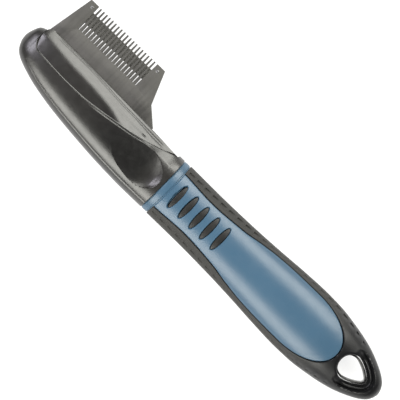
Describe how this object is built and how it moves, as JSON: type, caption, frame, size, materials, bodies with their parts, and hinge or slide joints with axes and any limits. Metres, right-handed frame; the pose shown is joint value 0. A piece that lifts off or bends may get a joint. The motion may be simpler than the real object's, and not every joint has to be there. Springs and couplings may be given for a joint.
{
  "type": "dematting comb",
  "caption": "Dematting comb: toothed steel plates with a cutting strip between them, a curved plastic head with a thumb dish, and a two-colour handle with a hanging loop.",
  "frame": {"origin": "on the flat of the rear core that the comb rests on, below the handle's axis, 110 mm from the nose", "axes": "+X along the handle from the nose to the hanging loop, +Y towards the teeth, +Z out of the front face"},
  "size_m": [0.18, 0.0427, 0.0212],
  "materials": {
    "head_plastic": "satin",
    "blade_steel": "matte",
    "strip_steel": "satin",
    "fixing_steel": "satin",
    "handle_blue": "satin",
    "grip_rubber": "matte",
    "liner_plastic": "gloss"
  },
  "bodies": {
    "root": {"head_front_shell": "head_plastic", "head_rear_shell": "head_plastic", "blade_holder": "head_plastic", "front_comb_plate": "blade_steel", "rear_comb_plate": "blade_steel", "spacer_plate": "blade_steel", "cutting_strip": "strip_steel", "strip_rivet_left": "fixing_steel", "strip_rivet_right": "fixing_steel", "plate_rivet_1": "fixing_steel", "plate_rivet_2": "fixing_steel", "plate_rivet_3": "fixing_steel", "head_screw_1": "fixing_steel", "head_screw_2": "fixing_steel", "head_screw_3": "fixing_steel", "tang": "fixing_steel", "tang_pin_1": "fixing_steel", "tang_pin_2": "fixing_steel", "tang_pin_3": "fixing_steel", "tang_pin_4": "fixing_steel", "collar_ring": "handle_blue", "core_front": "handle_blue", "core_rear": "handle_blue", "grip_overmould": "grip_rubber", "finger_pad_front_1": "grip_rubber", "finger_pad_front_2": "grip_rubber", "finger_pad_front_3": "grip_rubber", "finger_pad_front_4": "grip_rubber", "finger_pad_front_5": "grip_rubber", "finger_pad_rear_1": "grip_rubber", "finger_pad_rear_2": "grip_rubber", "finger_pad_rear_3": "grip_rubber", "finger_pad_rear_4": "grip_rubber", "finger_pad_rear_5": "grip_rubber", "hang_hole_liner": "liner_plastic"}
  },
  "joints": []
}
